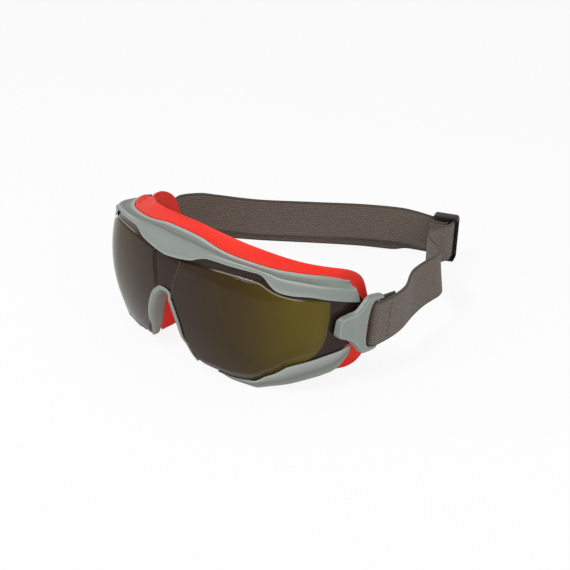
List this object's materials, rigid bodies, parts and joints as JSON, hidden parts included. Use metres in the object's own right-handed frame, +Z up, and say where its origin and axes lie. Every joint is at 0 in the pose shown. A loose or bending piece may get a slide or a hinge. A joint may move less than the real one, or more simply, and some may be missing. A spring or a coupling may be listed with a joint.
{
  "type": "welding goggles",
  "caption": "Sealed wraparound welding goggles with a dark one-piece lens, grey frame, soft red face seal and an elastic head strap on pivoting clips.",
  "frame": {"origin": "centre of the footprint on the resting surface", "axes": "+X to the wearer's left, +Y from the lens towards the back of the head, +Z up"},
  "size_m": [0.18, 0.2029, 0.0726],
  "materials": {
    "lens_tint": "polished tinted polycarbonate",
    "carrier_dark": "dark satin moulding",
    "frame_grey": "fine satin moulding",
    "seal_red": "soft satin elastomer",
    "webbing": "ribbed elastic webbing",
    "slider_black": "glossy moulding",
    "pin_steel": "turned",
    "thread": "polyester thread"
  },
  "bodies": {
    "goggle": {"lens": "lens_tint", "lens_carrier": "carrier_dark", "brow_frame": "frame_grey", "cheek_frame_left": "frame_grey", "cheek_frame_right": "frame_grey", "nose_bridge": "frame_grey", "face_seal": "seal_red", "temple_plate_left": "frame_grey", "temple_plate_right": "frame_grey"},
    "strap": {"strap_clip_left": "frame_grey", "pivot_pin_left": "pin_steel", "pivot_retainer_left": "pin_steel", "strap_left": "webbing", "strap_rear": "webbing", "strap_return": "webbing", "loop_stitching": "thread"},
    "clip_right": {"strap_clip_right": "frame_grey", "pivot_pin_right": "pin_steel", "pivot_retainer_right": "pin_steel"},
    "slider": {"slider": "slider_black", "return_stitching": "thread"}
  },
  "joints": [
    {"name": "strap_pivot", "type": "hinge", "parent": "goggle", "child": "strap", "pos_m": [0.078, -0.04953, 0.034], "axis": [1, 0, 0], "range_deg": [-20, 20]},
    {"name": "clip_right_pivot", "type": "hinge", "parent": "goggle", "child": "clip_right", "pos_m": [-0.078, -0.04953, 0.034], "axis": [1, 0, 0], "range_deg": [-20, 20]},
    {"name": "slider_slide", "type": "slide", "parent": "strap", "child": "slider", "axis": [-0.9272, -0.3746, 0], "range_m": [0, 0.016], "deforming": ["strap_return"]}
  ],
  "couplings": [
    {"joint": "clip_right_pivot", "follows": "strap_pivot", "ratio": 1}
  ]
}
